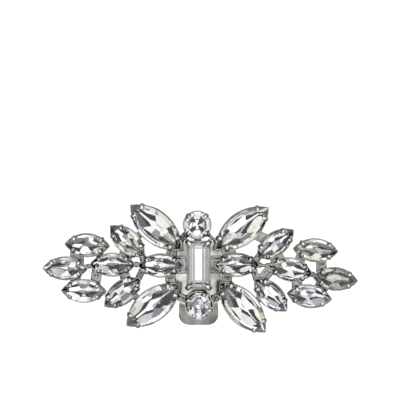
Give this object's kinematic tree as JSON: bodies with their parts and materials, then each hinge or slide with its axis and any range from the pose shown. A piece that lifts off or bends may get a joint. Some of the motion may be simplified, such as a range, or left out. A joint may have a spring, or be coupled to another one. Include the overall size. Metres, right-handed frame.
{
  "type": "shoe buckle",
  "caption": "Clip-on shoe ornament: a spray of pointed oval, round and baguette glass stones in claw cups, with a sprung clip on its back that grips the edge of a shoe.",
  "frame": {"origin": "on the clip plate's back face, behind the middle of the long centre stone", "axes": "+X to the right along the spray, +Y towards the jaw's teeth and away from the thumb tab, +Z out of the stones' faces"},
  "size_m": [0.0731, 0.0299, 0.0099],
  "materials": {
    "plated_metal": "bright silver-coloured plating, softly polished",
    "cut_glass": "clear cut glass with silver foil on its back facets",
    "clip_steel": "stamped sheet steel, satin, grey with an olive cast",
    "pin_steel": "drawn wire with riveted heads",
    "spring_steel": "drawn spring wire"
  },
  "bodies": {
    "buckle": {"setting_frame": "plated_metal", "navette_large_1": "cut_glass", "navette_large_2": "cut_glass", "navette_large_3": "cut_glass", "navette_large_4": "cut_glass", "navette_small_1": "cut_glass", "navette_small_2": "cut_glass", "navette_small_3": "cut_glass", "navette_small_4": "cut_glass", "navette_small_5": "cut_glass", "navette_small_6": "cut_glass", "navette_small_7": "cut_glass", "navette_small_8": "cut_glass", "navette_small_9": "cut_glass", "navette_small_10": "cut_glass", "navette_small_11": "cut_glass", "navette_small_12": "cut_glass", "navette_small_13": "cut_glass", "navette_small_14": "cut_glass", "round_stone_upper": "cut_glass", "round_stone_lower": "cut_glass", "baguette_stone": "cut_glass", "clip_plate": "clip_steel", "hinge_pin": "pin_steel", "hinge_spring": "spring_steel"},
    "jaw": {"clip_jaw": "clip_steel"}
  },
  "joints": [
    {"name": "jaw_hinge", "type": "hinge", "parent": "buckle", "child": "jaw", "pos_m": [0, -0.0063, -0.002], "axis": [-1, 0, 0], "range_deg": [0, 25], "stiffness_Nm_per_rad": 0.002, "springref_deg": -45.84, "deforming": ["hinge_spring"]}
  ]
}
